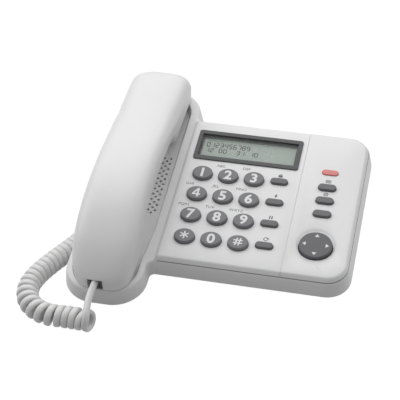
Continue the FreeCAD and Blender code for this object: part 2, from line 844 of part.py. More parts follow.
def make_handset():
    outer = handset_form(0.0)
    inner = handset_form(handset_wall)
    shell = outer.cut(inner)
    curve = Part.BSplineCurve()
    curve.interpolate([vector(handset_x - 60, y, z) for y, z in parting_line])
    top = 120.0
    first = vector(handset_x - 60, parting_line[0][0], top)
    last = vector(handset_x - 60, parting_line[-1][0], top)
    rim = Part.Wire([
        curve.toShape(),
        Part.LineSegment(vector(handset_x - 60, *parting_line[-1]), last).toShape(),
        Part.LineSegment(last, first).toShape(),
        Part.LineSegment(first, vector(handset_x - 60, *parting_line[0])).toShape(),
    ])
    above = Part.Face(rim).extrude(vector(120, 0, 0))
    notch = box((notch_x - notch_width / 2, -130.0, -20.0),
                (notch_x + notch_width / 2, notch_back, notch_z + notch_height / 2))
    pilot = screw_shank + 2 * screw_fit
    posts = []
    pilots = []
    counterbores = []
    screws = []
    for y in handset_screw_places:
        floor = underside(y) + handset_wall
        seat = floor - handset_screw_seat
        post = floor + handset_post_gap
        posts.append(cylinder(handset_x, y, post, 60.0, case_boss).common(outer))
        counterbores.append(cylinder(handset_x, y, underside(y) - 3.0, seat, screw_head + 2 * hook_clearance))
        counterbores.append(cylinder(handset_x, y, seat, post, pilot))
        head = cylinder(handset_x, y, seat - screw_head_height, seat, screw_head)
        end = floor + handset_screw_reach
        screws.append(fuse_all([head, cylinder(handset_x, y, seat, end, screw_shank)]))
        pilots.append(cylinder(handset_x, y, 0.0, end + screw_end_room, pilot))
    upper = cut_all(shell.common(above).fuse(posts), pilots + [notch])
    ear = []
    for index in range(7):
        angle = math.pi / 3 * index
        reach = ear_hole_ring if index < 6 else 0.0
        x = handset_x + reach * math.cos(angle)
        ear.append(cylinder(x, receiver_y + reach * math.sin(angle), -12.0, 0.0, ear_hole))
    mouth = []
    for side in (-1, 0, 1):
        x = handset_x + side * mouth_hole_spread
        mouth.append(cylinder(x, mouth_y - mouth_hole_lead, -12.0, 0.0, mouth_hole))
    lower = cut_all(shell.cut(above), ear + mouth + counterbores + [notch])
    solids["handset_top_shell"] = on_table(upper)
    solids["handset_bottom_shell"] = on_table(lower)
    solids["handset_screws"] = on_table(Part.makeCompound(screws))


def make_handset_fittings():
    floor = underside(receiver_y) + handset_wall + receiver_gap
    seal = cylinder(handset_x, receiver_y, floor, floor + receiver_seal_height, receiver_diameter)
    seal = seal.cut(cylinder(handset_x, receiver_y, floor, floor + receiver_seal_height,
                             receiver_diameter - 2 * receiver_seal_width))
    solids["receiver_seal"] = on_table(seal)
    face = floor + receiver_seal_height
    shoulder = face + receiver_height / 2
    front = cylinder(handset_x, receiver_y, face, shoulder, receiver_diameter)
    back = cylinder(handset_x, receiver_y, shoulder, face + receiver_height,
                    receiver_diameter * receiver_back_share)
    capsule = fuse_all([front, back])
    solids["receiver_capsule"] = on_table(capsule)
    boot_diameter = microphone_diameter + 2 * boot_wall
    base = underside(mouth_y + boot_diameter / 2) + handset_wall + 2 * seat_gap
    seat = base + boot_wall
    rim = seat + microphone_height
    pocket = cylinder(handset_x, mouth_y, seat, rim, microphone_diameter)
    boot = cylinder(handset_x, mouth_y, base, rim, boot_diameter).cut(pocket)
    solids["microphone_boot"] = on_table(boot)
    solids["microphone"] = on_table(pocket)
    rest = underside(weight_y) + handset_wall + 2 * seat_gap
    bar = rectangle(handset_x, weight_y, weight_width, weight_length, weight_corner)
    solids["handset_weight"] = on_table(prism(bar, rest, rest + weight_thickness))
    width = cord_socket_width
    height = cord_socket_height
    hole_back = notch_back + handset_plug_depth + plug_fit
    block = box((notch_x - notch_width / 2 + seam_gap, notch_back, notch_z - notch_height / 2 + seam_gap),
                (notch_x + notch_width / 2 - seam_gap, hole_back + socket_wall / 2,
                 notch_z + notch_height / 2 - seam_gap))
    hole = box((notch_x - width / 2, notch_back, notch_z - height / 2),
               (notch_x + width / 2, hole_back, notch_z + height / 2))
    solids["handset_socket"] = on_table(block.cut(hole))
    half = width / 2 - plug_fit
    rise = height / 2 - plug_fit
    plug = box((notch_x - half, notch_back - plug_stand_out, notch_z - rise),
               (notch_x + half, notch_back + handset_plug_depth, notch_z + rise))
    solids["handset_plug"] = on_table(plug)


class Route:
    """Straight runs joined by tangent arcs, each as large as its runs allow."""

    def __init__(self, points):
        self.points = [FreeCAD.Vector(point) for point in points]
        self.pieces = []
        self.radii = []
        position = self.points[0]
        for before, corner, after in zip(self.points, self.points[1:], self.points[2:]):
            arriving = (corner - before).normalize()
            leaving = (after - corner).normalize()
            shorter = min((corner - before).Length, (after - corner).Length)
            turn = arriving.getAngle(leaving)
            reach = 0.45 * shorter
            radius = reach / math.tan(turn / 2)
            self.radii.append(radius)
            start = corner - arriving * reach
            self.pieces.append(("run", position, start, (start - position).Length, 0.0))
            self.pieces.append(("bend", start, arriving, leaving, radius, turn))
            position = corner + leaving * reach
        self.pieces.append(("run", position, self.points[-1], (self.points[-1] - position).Length, 0.0))

    def length(self):
        return sum(self.piece_length(piece) for piece in self.pieces)

    def piece_length(self, piece):
        return piece[3] if piece[0] == "run" else piece[4] * piece[5]

    def at(self, distance):
        """Place, heading and curvature at a distance along the route."""
        for piece in self.pieces:
            length = self.piece_length(piece)
            if distance <= length or piece is self.pieces[-1]:
                break
            distance -= length
        if piece[0] == "run":
            heading = (piece[2] - piece[1]).normalize()
            return piece[1] + heading * distance, heading, 0.0
        kind, start, arriving, leaving, radius, turn = piece
        angle = distance / radius
        inward = (leaving - arriving * math.cos(turn)) * (1 / math.sin(turn))
        place = start + arriving * (radius * math.sin(angle)) + inward * (radius * (1 - math.cos(angle)))
        return place, arriving * math.cos(angle) + inward * math.sin(angle), 1 / radius

    def wire(self):
        edges = []
        travelled = 0.0
        for piece in self.pieces:
            length = self.piece_length(piece)
            start = self.at(travelled + 1e-9)[0]
            end = self.at(travelled + length - 1e-9)[0]
            if piece[0] == "run":
                edges.append(Part.LineSegment(piece[1], piece[2]).toShape())
            else:
                edges.append(Part.Arc(start, self.at(travelled + length / 2)[0], end).toShape())
            travelled += length
        return Part.Wire(edges)


def tube(wire, start, heading, diameter):
    profile = Part.Wire(Part.Circle(start, heading, diameter / 2).toShape())
    return wire.makePipeShell([profile], True, False)


def bend_through(start, heading, end):
    """Arc that leaves a point along a heading and ends at another point."""
    chord = end - start
    direction = FreeCAD.Vector(chord).normalize()
    half = heading.getAngle(direction)
    side = (heading - direction * heading.dot(direction)).normalize()
    middle = start + chord * 0.5 + side * (chord.Length / 2 * math.tan(half / 2))
    return Part.Arc(start, middle, end).toShape()


def biarc(first, second):
    """Two tangent arcs between places with headings."""
    start, leaving = first
    end, arriving = second
    chord = end - start
    both = leaving + arriving
    spread = 2 * (1 - leaving.dot(arriving))
    along = chord.dot(both)
    reach = (-along + math.sqrt(along * along + spread * chord.dot(chord))) / spread
    joint = (start + leaving * reach + end - arriving * reach) * 0.5
    second_arc = bend_through(end, arriving * -1, joint)
    return [bend_through(start, leaving, joint), second_arc]


def coil_turns(route):
    """Places and headings a quarter turn apart along the curls; the pitch opens where the route bends."""

    def place_at(distance, angle):
        centre, heading, curvature = route.at(distance)
        side = heading.cross(vector(0, 0, 1)).normalize()
        up = side.cross(heading)
        return centre + (up * math.cos(angle) - side * math.sin(angle)) * coil_radius

    turns = []
    distance = 0.0
    quarter = 0
    step = 0.01
    while distance < route.length() or (quarter - 1) % 4 != coil_end_quarter:
        angle = math.pi / 2 * quarter
        bend = max(route.at(distance + reach)[2] for reach in (-coil_radius, 0.0, coil_radius))
        pitch = coil_inner_pitch / (1 - coil_radius * bend)
        turn = step * 2 * math.pi / pitch
        heading = place_at(distance + step, angle + turn) - place_at(distance - step, angle - turn)
        turns.append((place_at(distance, angle), heading.normalize()))
        distance += pitch / 4
        quarter += 1
    return turns


def least_gap(edges, diameter):
    """Least free gap between stretches of a tube that lie more than a few diameters apart along it."""
    places = []
    travelled = 0.0
    for edge in edges:
        for point in edge.discretize(6)[:-1]:
            if places:
                travelled += (point - places[-1][0]).Length
            places.append((point, travelled))
    cells = {}
    for index, (point, along) in enumerate(places):
        key = (int(point.x // 8), int(point.y // 8), int(point.z // 8))
        cells.setdefault(key, []).append(index)
    least = 100.0
    for point, along in places:
        key = (int(point.x // 8), int(point.y // 8), int(point.z // 8))
        for dx in (-1, 0, 1):
            for dy in (-1, 0, 1):
                for dz in (-1, 0, 1):
                    for other in cells.get((key[0] + dx, key[1] + dy, key[2] + dz), []):
                        if abs(places[other][1] - along) > 4 * diameter:
                            least = min(least, (places[other][0] - point).Length)
    return least - diameter


def lead(start, leaving, end, arriving, first_run, last_run):
    """Short free stretch that leaves and arrives along given headings."""
    return Route([start, start + leaving * first_run, end - arriving * last_run, end])


def make_cord():
    axis = Route(coil_route)
    turns = coil_turns(axis)
    first_place, first_heading = turns[0]
    last_place, last_heading = turns[-1]
    coil_start = first_place - first_heading * cord_diameter
    coil_end = last_place + last_heading * cord_diameter
    edges = [Part.LineSegment(coil_start, first_place).toShape()]
    for before, after in zip(turns, turns[1:]):
        edges.extend(biarc(before, after))
    edges.append(Part.LineSegment(last_place, coil_end).toShape())
    coil_wire = Part.Wire(edges)
    solids["cord_coil"] = tube(coil_wire, coil_start, first_heading, cord_diameter)

    outward = table_point(0, -1, 0) - table_point(0, 0, 0)
    handset_face = table_point(notch_x, notch_back - plug_stand_out, notch_z)
    handset_lead = lead(handset_face, outward, coil_start, first_heading, lead_run, lead_run)
    solids["cord_handset_lead"] = tube(handset_lead.wire(), handset_face, outward, cord_diameter)

    plug_face = vector(tray_left - base_plug_stand_out, cord_socket_y, socket_z)
    base_lead = lead(coil_end, last_heading, plug_face, vector(1, 0, 0), lead_run, lead_run)
    solids["cord_base_lead"] = tube(base_lead.wire(), coil_end, last_heading, cord_diameter)
    half = cord_socket_width / 2 - plug_fit
    rise = cord_socket_height / 2 - plug_fit
    plug_end = tray_left + socket_depth - plug_end_room
    solids["base_plug"] = box((plug_face.x, plug_face.y - half, plug_face.z - rise),
                              (plug_end, plug_face.y + half, plug_face.z + rise))

    section = math.pi * cord_diameter ** 2 / 4
    tightest = min(edge.Curve.Radius for edge in edges if hasattr(edge.Curve, "Radius"))
    print("coil turns", len(turns) / 4, "length", coil_wire.Length, "tightest", tightest)
    print("coil volume share", solids["cord_coil"].Volume / (section * coil_wire.Length))
    print("coil gap", least_gap(edges, cord_diameter))
    for name, route in (("handset", handset_lead), ("base", base_lead)):
        share = solids["cord_" + name + "_lead"].Volume / (section * route.length())
        print(name, "lead radii", route.radii, "length", route.length(), "volume share", share)
    print("cord length", coil_wire.Length + handset_lead.length() + base_lead.length())


solids["upper_case"] = on_table(make_upper_case())
solids["face_plate"] = on_table(make_face_plate())
make_keys()
make_nav_key()
make_display()
make_lamp()
make_board()
make_loudspeaker()
make_hook()
make_bottom_case()
make_handset()
make_handset_fittings()
make_cord()

os.makedirs("parts", exist_ok=True)
for name, solid in solids.items():
    solid.exportStep("parts/" + name + ".step")
    print(name, solid.isValid(), len(solid.Solids), round(solid.Volume, 1))
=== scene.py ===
import json
import math

import bmesh
import bpy
from mathutils import Matrix, Vector
from mathutils.bvhtree import BVHTree
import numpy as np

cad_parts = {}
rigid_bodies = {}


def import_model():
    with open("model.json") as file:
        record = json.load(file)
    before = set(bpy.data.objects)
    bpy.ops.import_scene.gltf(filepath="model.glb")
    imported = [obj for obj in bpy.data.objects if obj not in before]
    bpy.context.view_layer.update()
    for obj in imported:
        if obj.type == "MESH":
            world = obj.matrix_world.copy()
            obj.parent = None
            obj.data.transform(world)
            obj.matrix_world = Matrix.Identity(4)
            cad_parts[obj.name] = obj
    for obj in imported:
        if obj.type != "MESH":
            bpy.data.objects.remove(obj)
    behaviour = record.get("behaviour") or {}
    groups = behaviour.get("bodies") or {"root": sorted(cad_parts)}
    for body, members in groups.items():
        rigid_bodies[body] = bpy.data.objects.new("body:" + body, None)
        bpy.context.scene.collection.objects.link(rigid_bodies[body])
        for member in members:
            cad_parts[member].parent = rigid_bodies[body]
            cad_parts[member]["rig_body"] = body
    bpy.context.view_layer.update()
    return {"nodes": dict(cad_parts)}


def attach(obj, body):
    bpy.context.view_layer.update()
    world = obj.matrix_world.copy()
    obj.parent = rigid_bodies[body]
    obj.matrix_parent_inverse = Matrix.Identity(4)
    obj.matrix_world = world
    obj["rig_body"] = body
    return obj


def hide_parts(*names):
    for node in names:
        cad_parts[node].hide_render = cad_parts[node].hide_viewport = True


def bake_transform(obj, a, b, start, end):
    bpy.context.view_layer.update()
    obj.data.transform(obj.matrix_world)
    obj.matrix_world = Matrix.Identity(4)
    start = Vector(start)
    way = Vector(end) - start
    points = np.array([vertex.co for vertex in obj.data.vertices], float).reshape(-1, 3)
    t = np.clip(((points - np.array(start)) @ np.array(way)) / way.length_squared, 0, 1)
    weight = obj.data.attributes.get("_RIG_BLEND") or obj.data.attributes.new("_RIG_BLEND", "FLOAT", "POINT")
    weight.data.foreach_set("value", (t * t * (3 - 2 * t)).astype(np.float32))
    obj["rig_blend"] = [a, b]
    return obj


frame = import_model()

# Upper case: the white shell with the cradle trough and the loudspeaker's holes, injection moulded in ABS
# with a fine spark-eroded grain. Four screws from below hold it on the bottom case.
millimetre = 0.001
panel_lean = math.radians(14.0)
panel_origin = (-0.01935, 0.0100463, 0.0434802)
panel_turn = Matrix.Rotation(panel_lean, 4, "X")
panel_frame = Matrix.Translation(panel_origin) @ panel_turn @ Matrix.Scale(millimetre, 4)
panel_up = panel_frame.to_3x3().normalized() @ Vector((0, 0, 1))
shell_white = (0.80, 0.80, 0.805)
shell_roughness = 0.40
shell_grain = 2600.0
tone_scale = 16.0
tone_detail = 3.0
tone_gloss = 0.16
grain_detail = 2.0
grain_gloss = 0.08
grain_strength = 0.25
weld_distance = 2e-6
sliver_length = 1e-7


class Shade:
    """One socket of a material's tree, for sums written in Python."""

    def __init__(self, tree, socket=None):
        self.tree = tree
        self.socket = socket

    def node(self, kind, settings, inputs, output=0):
        """A node with its settings, then its sockets' values or links; gives one of its outputs."""
        made = self.tree.nodes.new(kind)
        for name, value in settings.items():
            setattr(made, name, value)
        for name, value in inputs.items():
            if isinstance(value, Shade):
                self.tree.links.new(value.socket, made.inputs[name])
            else:
                made.inputs[name].default_value = value
        return Shade(self.tree, made.outputs[output])

    def sum(self, operation, first, second):
        return self.node("ShaderNodeMath", {"operation": operation}, {0: first, 1: second})

    def mix(self, share, low, high):
        """Two colours mixed: the low one at a share of 0, the high one at 1."""
        return self.node("ShaderNodeMix", {"data_type": "RGBA"}, {0: share, 6: low, 7: high}, 2)

    def __add__(self, other):
        return self.sum("ADD", self, other)

    def __sub__(self, other):
        return self.sum("SUBTRACT", self, other)

    def __rsub__(self, other):
        return self.sum("SUBTRACT", other, self)

    def __mul__(self, other):
        return self.sum("MULTIPLY", self, other)

    __radd__ = __add__
    __rmul__ = __mul__


def plastic(name, colour, roughness, grain, depth=0.00002, drift=0.05, **constants):
    """Moulded plastic or rubber: a fine grain, a slow drift of tone and uneven gloss from handling."""
    finish = bpy.data.materials.new(name)
    finish.use_nodes = True
    tree = finish.node_tree
    shader = tree.nodes["Principled BSDF"]
    start = Shade(tree)
    place = start.node("ShaderNodeTexCoord", {}, {}, "Object")
    slow = start.node("ShaderNodeTexNoise", {}, {"Vector": place, "Scale": tone_scale, "Detail": tone_detail})
    fine = start.node("ShaderNodeTexNoise", {}, {"Vector": place, "Scale": grain, "Detail": grain_detail})
    deep = [c * (1 - drift) for c in colour] + [1.0]
    tone = start.mix(slow, deep, [*colour, 1.0])
    gloss = (slow - 0.5) * tone_gloss + (fine - 0.5) * grain_gloss + roughness
    bump = start.node("ShaderNodeBump", {}, {"Strength": grain_strength, "Distance": depth, "Height": fine})
    for socket, value in (("Base Color", tone), ("Roughness", gloss), ("Normal", bump)):
        tree.links.new(value.socket, shader.inputs[socket])
    for socket, value in constants.items():
        shader.inputs[socket.replace("_", " ")].default_value = value
    return finish


def dressed(node, finish, angle=38.0):
    """A copy of a solid with its seams closed and its round faces shaded smooth, which stands for it."""
    source = frame["nodes"][node]
    mesh = source.data.copy()
    shape = bmesh.new()
    shape.from_mesh(mesh)
    bmesh.ops.remove_doubles(shape, verts=shape.verts, dist=weld_distance)
    bmesh.ops.dissolve_degenerate(shape, edges=shape.edges, dist=sliver_length)
    shape.to_mesh(mesh)
    shape.free()
    for layer in [a.name for a in mesh.attributes if a.name == "custom_normal"]:
        mesh.attributes.remove(mesh.attributes[layer])
    mesh.materials.clear()
    mesh.materials.append(finish)
    mesh.shade_smooth()
    mesh.set_sharp_from_angle(angle=math.radians(angle))
    piece = bpy.data.objects.new(node + "_shown", mesh)
    bpy.context.scene.collection.objects.link(piece)
    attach(piece, source["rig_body"])
    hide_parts(node)
    return piece


shell_finish = plastic("shell_white", shell_white, shell_roughness, shell_grain)
dressed("upper_case", shell_finish)

# Bottom case: the same white moulding, a flange under the upper case with a wedge tray that lifts the back.
# It carries the ballast, the sockets and four rubber feet, which are pressed on.
underside_white = (0.74, 0.74, 0.745)
foot_black = (0.035, 0.035, 0.037)
underside_finish = plastic("underside_white", underside_white, roughness=0.48, grain=1900.0)
feet_finish = plastic("foot_rubber", foot_black, roughness=0.72, grain=1500.0, depth=0.00005, drift=0.2)
dressed("bottom_case", underside_finish)
dressed("rubber_feet", feet_finish)

# Screws: self-tapping steel screws with a cross recess, zinc plated. Four hold the case from below, two the
# handset and four the circuit board; each head has its two slots cut at right angles.
screw_head = 0.0052
screw_head_height = 0.0016
screw_shank = 0.0026
screw_slot = (0.0034, 0.0008, 0.0009)
screw_edge_angle = 35.0
head_sides = 28
shank_sides = 20
case_screw_reach = 0.0044
board_screw_reach = 0.0050
level_room = 1e-5
zinc_grey = (0.56, 0.56, 0.57)


class Growth:
    """A geometry node tree with named sizes, ending in real mesh with one material."""

    def __init__(self, name, **sizes):
        self.tree = bpy.data.node_groups.new(name, "GeometryNodeTree")
        sockets = self.tree.interface
        sockets.new_socket("Geometry", in_out="INPUT", socket_type="NodeSocketGeometry")
        sockets.new_socket("Geometry", in_out="OUTPUT", socket_type="NodeSocketGeometry")
        self.sizes = {}
        for size in sizes:
            self.sizes[size] = sockets.new_socket(size, in_out="INPUT", socket_type="NodeSocketFloat")
        self.values = sizes
        self.given = self.tree.nodes.new("NodeGroupInput")

    def size(self, name):
        return self.given.outputs[name]

    def node(self, kind, settings, inputs, output=0):
        """A node with its settings, then its sockets' values, links or lists of links."""
        made = self.tree.nodes.new(kind)
        for name, value in settings.items():
            setattr(made, name, value)
        for name, value in inputs.items():
            for link in value if isinstance(value, list) else [value]:
                if isinstance(link, bpy.types.NodeSocket):
                    self.tree.links.new(link, made.inputs[name])
                else:
                    made.inputs[name].default_value = link
        return made.outputs[output]

    def grown(self, name, places, geometry, finish):
        """The tree's mesh over a set of places, as a plain object."""
        real = self.node("GeometryNodeRealizeInstances", {}, {0: geometry})
        painted = self.node("GeometryNodeSetMaterial", {}, {"Geometry": real, "Material": finish})
        end = self.tree.nodes.new("NodeGroupOutput")
        self.tree.links.new(painted, end.inputs[0])
        seeds = bpy.data.meshes.new(name + "_places")
        seeds.from_pydata(places, [], [])
        carrier = bpy.data.objects.new(name + "_places", seeds)
        bpy.context.scene.collection.objects.link(carrier)
        modifier = carrier.modifiers.new("growth", "NODES")
        modifier.node_group = self.tree
        for size, socket in self.sizes.items():
            modifier[socket.identifier] = self.values[size]
        mesh = bpy.data.meshes.new_from_object(carrier.evaluated_get(bpy.context.evaluated_depsgraph_get()))
        bpy.data.objects.remove(carrier)
        piece = bpy.data.objects.new(name, mesh)
        bpy.context.scene.collection.objects.link(piece)
        return piece


steel_finish = plastic(
    "zinc_steel", zinc_grey, roughness=0.34, grain=900.0, depth=0.00001, drift=0.12, Metallic=1.0)


def screw_heads(mesh):
    """Middle of the head of each separate screw in a mesh, half the head's height above its lowest face."""
    shape = bmesh.new()
    shape.from_mesh(mesh)
    bmesh.ops.remove_doubles(shape, verts=shape.verts, dist=weld_distance)
    heads = []
    waiting = set(shape.verts)
    while waiting:
        island = [waiting.pop()]
        for vert in island:
            for edge in vert.link_edges:
                other = edge.other_vert(vert)
                if other in waiting:
                    waiting.discard(other)
                    island.append(other)
        low = min(v.co.dot(panel_up) for v in island)
        face = [v.co for v in island if v.co.dot(panel_up) < low + level_room]
        middle = sum(face, Vector()) / len(face)
        heads.append(middle + panel_up * (screw_head_height / 2))
    shape.free()
    return heads


def screws(name, node, reach):
    """Screws standing where a node's screws are: heads with a cross recess, below their shanks."""
    slot_length, slot_width, slot_depth = screw_slot
    source = frame["nodes"][node]
    growth = Growth(name, head=screw_head, height=screw_head_height, shank=screw_shank, reach=reach)
    half_head = growth.node("ShaderNodeMath", {"operation": "DIVIDE"}, {0: growth.size("head"), 1: 2.0})
    half_shank = growth.node("ShaderNodeMath", {"operation": "DIVIDE"}, {0: growth.size("shank"), 1: 2.0})
    head = growth.node("GeometryNodeMeshCylinder", {}, {
        "Vertices": head_sides, "Radius": half_head, "Depth": growth.size("height")})
    slots = []
    for size in ((slot_length, slot_width, 2 * slot_depth), (slot_width, slot_length, 2 * slot_depth)):
        cutter = growth.node("GeometryNodeMeshCube", {}, {"Size": size})
        slots.append(growth.node("GeometryNodeTransform", {}, {
            "Geometry": cutter, "Translation": (0.0, 0.0, -screw_head_height / 2)}))
    cut = growth.node("GeometryNodeMeshBoolean", {"operation": "DIFFERENCE"}, {0: head, 1: slots})
    stem = growth.node("GeometryNodeMeshCylinder", {}, {
        "Vertices": shank_sides, "Radius": half_shank, "Depth": growth.size("reach")})
    stem = growth.node("GeometryNodeTransform", {}, {
        "Geometry": stem, "Translation": (0.0, 0.0, (screw_head_height + reach) / 2)})
    whole = growth.node("GeometryNodeJoinGeometry", {}, {0: [cut, stem]})
    turned = growth.node("GeometryNodeTransform", {}, {"Geometry": whole, "Rotation": (panel_lean, 0.0, 0.0)})
    standing = growth.node("GeometryNodeInstanceOnPoints", {}, {
        "Points": growth.size("Geometry"), "Instance": turned})
    piece = growth.grown(name, screw_heads(source.data), standing, steel_finish)
    piece.data.shade_smooth()
    piece.data.set_sharp_from_angle(angle=math.radians(screw_edge_angle))
    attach(piece, source["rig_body"])
    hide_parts(node)


screws("case_screw_set", "case_screws", case_screw_reach)
screws("board_screw_set", "board_screws", board_screw_reach)

# Face plate: the white panel that the keys stand in, moulded in the same ABS, with a fine groove at its foot,
# whose shadow is painted into its colour as a dark line. Small grey marks for the keys are pad-printed on it,
# a few hundredths of a millimetre thick.
plate_foot = -0.0035
seam_shadow_width = 0.0006
seam_shadow_left = -0.0335
# Painted shadow: this dark grey stands for the shade in the seam at the plate's foot.
seam_shadow_grey = (0.16, 0.16, 0.165)
ink_grey = (0.13, 0.13, 0.135)
print_height = 0.05
print_weld = 1e-4
letter_height = 2.2
letter_place = (-6.9, 9.7)
key_letters = {
    "2": "ABC", "3": "DEF", "4": "GHI", "5": "JKL", "6": "MNO", "7": "PQRS", "8": "TUV", "9": "WXYZ"}
dial_pitch = (18.2, 19.4)
dial_columns = 3
dial_names = ["1", "2", "3", "4", "5", "6", "7", "8", "9", "star", "0", "hash"]
dial_places = {}
for number, name in enumerate(dial_names):
    row, column = divmod(number, dial_columns)
    dial_places[name] = (column * dial_pitch[0], -row * dial_pitch[1])
small_key_places = {
    "lock": (53.9, 1.1), "flash": (53.9, -18.3), "pause": (53.9, -37.7), "redial": (53.9, -57.1)}
right_key_places = {"function": (87.3, 0.9), "mute": (87.3, -11.2), "enter": (87.3, -23.3)}
small_mark_lift = 6.1
right_mark_lift = 6.3
mark_size = 1.3
arc_steps = 28


def glyphs(text, height, weight=0.0):
    """Flat shape of some characters, centred, with that height above their line in millimetres."""
    words = bpy.data.curves.new("words", "FONT")
    words.body = text
    words.offset = weight
    carrier = bpy.data.objects.new("words", words)
    bpy.context.scene.collection.objects.link(carrier)
    mesh = bpy.data.meshes.new_from_object(carrier.evaluated_get(bpy.context.evaluated_depsgraph_get()))
    bpy.data.objects.remove(carrier)
    left = min(v.co.x for v in mesh.vertices)
    right = max(v.co.x for v in mesh.vertices)
    top = max(v.co.y for v in mesh.vertices)
    mesh.transform(Matrix.Scale(height / top, 4) @ Matrix.Translation((-(left + right) / 2, -top / 2, 0)))
    return mesh


def ring_part(outer, inner, start=0.0, end=360.0, y=0.0):
    """Flat ring, or a sector of one, as small quads."""
    turns = [math.radians(start + (end - start) * step / arc_steps) for step in range(arc_steps + 1)]
    rim = [(outer * math.cos(t), y + outer * math.sin(t)) for t in turns]
    core = [(inner * math.cos(t), y + inner * math.sin(t)) for t in turns]
    return [[rim[i], rim[i + 1], core[i + 1], core[i]] for i in range(arc_steps)]


def bar(x, y, width, height, lean=0.0):
    """Flat bar about its centre, turned by some degrees."""
    turn = Matrix.Rotation(math.radians(lean), 2)
    across, along = width / 2, height / 2
    corners = [(-across, -along), (across, -along), (across, along), (-across, along)]
    return [[tuple(Vector((x, y)) + turn @ Vector(corner)) for corner in corners]]


class Print:
    """Printed marks gathered in one mesh, in panel millimetres."""

    def __init__(self):
        self.shape = bmesh.new()

    def add(self, mesh, place):
        """Flat mesh laid in place, with the thickness of the ink."""
        flat = bmesh.new()
        flat.from_mesh(mesh)
        bmesh.ops.remove_doubles(flat, verts=flat.verts, dist=print_weld)
        bmesh.ops.recalc_face_normals(flat, faces=flat.faces)
        for face in flat.faces:
            face.smooth = False
            if face.normal.z < 0:
                face.normal_flip()
        lower = bmesh.ops.duplicate(flat, geom=flat.verts[:] + flat.edges[:] + flat.faces[:])
        pairs = lower["vert_map"]
        bottoms = [f for f in lower["geom"] if isinstance(f, bmesh.types.BMFace)]
        bottom_verts = {v for f in bottoms for v in f.verts}
        top_rims = [e for e in flat.edges if e.is_boundary and e.verts[0] not in bottom_verts]
        for vert in flat.verts:
            if vert not in bottom_verts:
                vert.co.z += print_height
        for face in bottoms:
            face.normal_flip()
        for edge in top_rims:
            a, b = edge.link_loops[0].vert, edge.link_loops[0].link_loop_next.vert
            flat.faces.new((b, a, pairs[a], pairs[b]))
        bmesh.ops.transform(flat, matrix=place, verts=flat.verts)
        whole = bpy.data.meshes.new("mark")
        flat.to_mesh(whole)
        flat.free()
        self.shape.from_mesh(whole)
        bpy.data.meshes.remove(whole)

    def glyph(self, mesh, x, y, level):
        """Characters at a place and level."""
        self.add(mesh, Matrix.Translation((x, y, level)))

    def outline(self, polygons, x, y, level, size=1.0):
        """Polygons at a place and level, enlarged."""
        spots, faces = [], []
        for polygon in polygons:
            faces.append(list(range(len(spots), len(spots) + len(polygon))))
            spots.extend((px, py, 0.0) for px, py in polygon)
        mesh = bpy.data.meshes.new("outline")
        mesh.from_pydata(spots, [], faces)
        self.add(mesh, Matrix.Translation((x, y, level)) @ Matrix.Scale(size, 4))

    def piece(self, name, finish, body):
        mesh = bpy.data.meshes.new(name)
        self.shape.to_mesh(mesh)
        self.shape.free()
        mesh.transform(panel_frame)
        mesh.materials.append(finish)
        made = bpy.data.objects.new(name, mesh)
        bpy.context.scene.collection.objects.link(made)
        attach(made, body)


def paint_seam_shadow(finish):
    """A painted seam shadow: a dark line along a moulding's foot, apart from its left edge."""
    tree = finish.node_tree
    colour = tree.nodes["Principled BSDF"].inputs["Base Color"]
    start = Shade(tree)
    place = start.node("ShaderNodeTexCoord", {}, {}, "Object")
    height = start.node("ShaderNodeVectorMath", {"operation": "DOT_PRODUCT"}, {
        0: place, 1: panel_up}, "Value")
    foot = panel_up.dot(Vector(panel_origin)) + plate_foot
    across = start.node("ShaderNodeSeparateXYZ", {}, {0: place}, "X")
    left_edge = start.sum("LESS_THAN", across, seam_shadow_left)
    above = start.node("ShaderNodeMapRange", {}, {
        "Value": height, "From Min": foot + seam_shadow_width / 2, "From Max": foot + seam_shadow_width})
    clear = start.sum("MAXIMUM", above, left_edge)
    white = Shade(tree, colour.links[0].from_socket)
    # Painted shadow: the base colour turns to a dark grey line at the foot, where the seam's shade falls.
    seam_shadowed = start.mix(clear, (*seam_shadow_grey, 1.0), white)
    tree.links.new(seam_shadowed.socket, colour)


plate_finish = plastic("plate_white", shell_white, shell_roughness, shell_grain)
paint_seam_shadow(plate_finish)
dressed("face_plate", plate_finish, angle=30.0)
ink_finish = plastic("panel_ink", ink_grey, roughness=0.5, grain=3000.0, depth=0.00001, drift=0.15)
marks = Print()
for name, letters in key_letters.items():
    x, y = dial_places[name]
    marks.glyph(glyphs(letters, letter_height), x + letter_place[0], y + letter_place[1], 0.0)
pictures = {
    "lock": bar(0, -0.45, 2.2, 1.5) + ring_part(0.85, 0.5, 0, 180, 0.3),
    "flash": [[(-0.2, 1.3), (0.7, 1.3), (0.3, 0.3), (0.9, 0.3), (-0.5, -1.3), (-0.1, -0.1), (-0.8, -0.1)]],
    "pause": bar(-0.6, 0, 0.6, 2.2) + bar(0.6, 0, 0.6, 2.2),
    "redial": ring_part(1.25, 0.85, 40, 330) + [[(0.3, 0.75), (1.75, 0.75), (1.15, -0.35)]],
    "function": bar(0, -0.8, 3.0, 0.42) + bar(0, 0.0, 3.0, 0.42) + bar(0, 0.8, 3.0, 0.42),
    "mute": ring_part(1.25, 0.9) + bar(0, 0, 2.2, 0.4, 45),
}
for places, lift in ((small_key_places, small_mark_lift), (right_key_places, right_mark_lift)):
    for name, (x, y) in places.items():
        if name in pictures:
            marks.outline(pictures[name], x, y + lift, 0.0, mark_size)
marks.piece("panel_marks", ink_finish, "base")

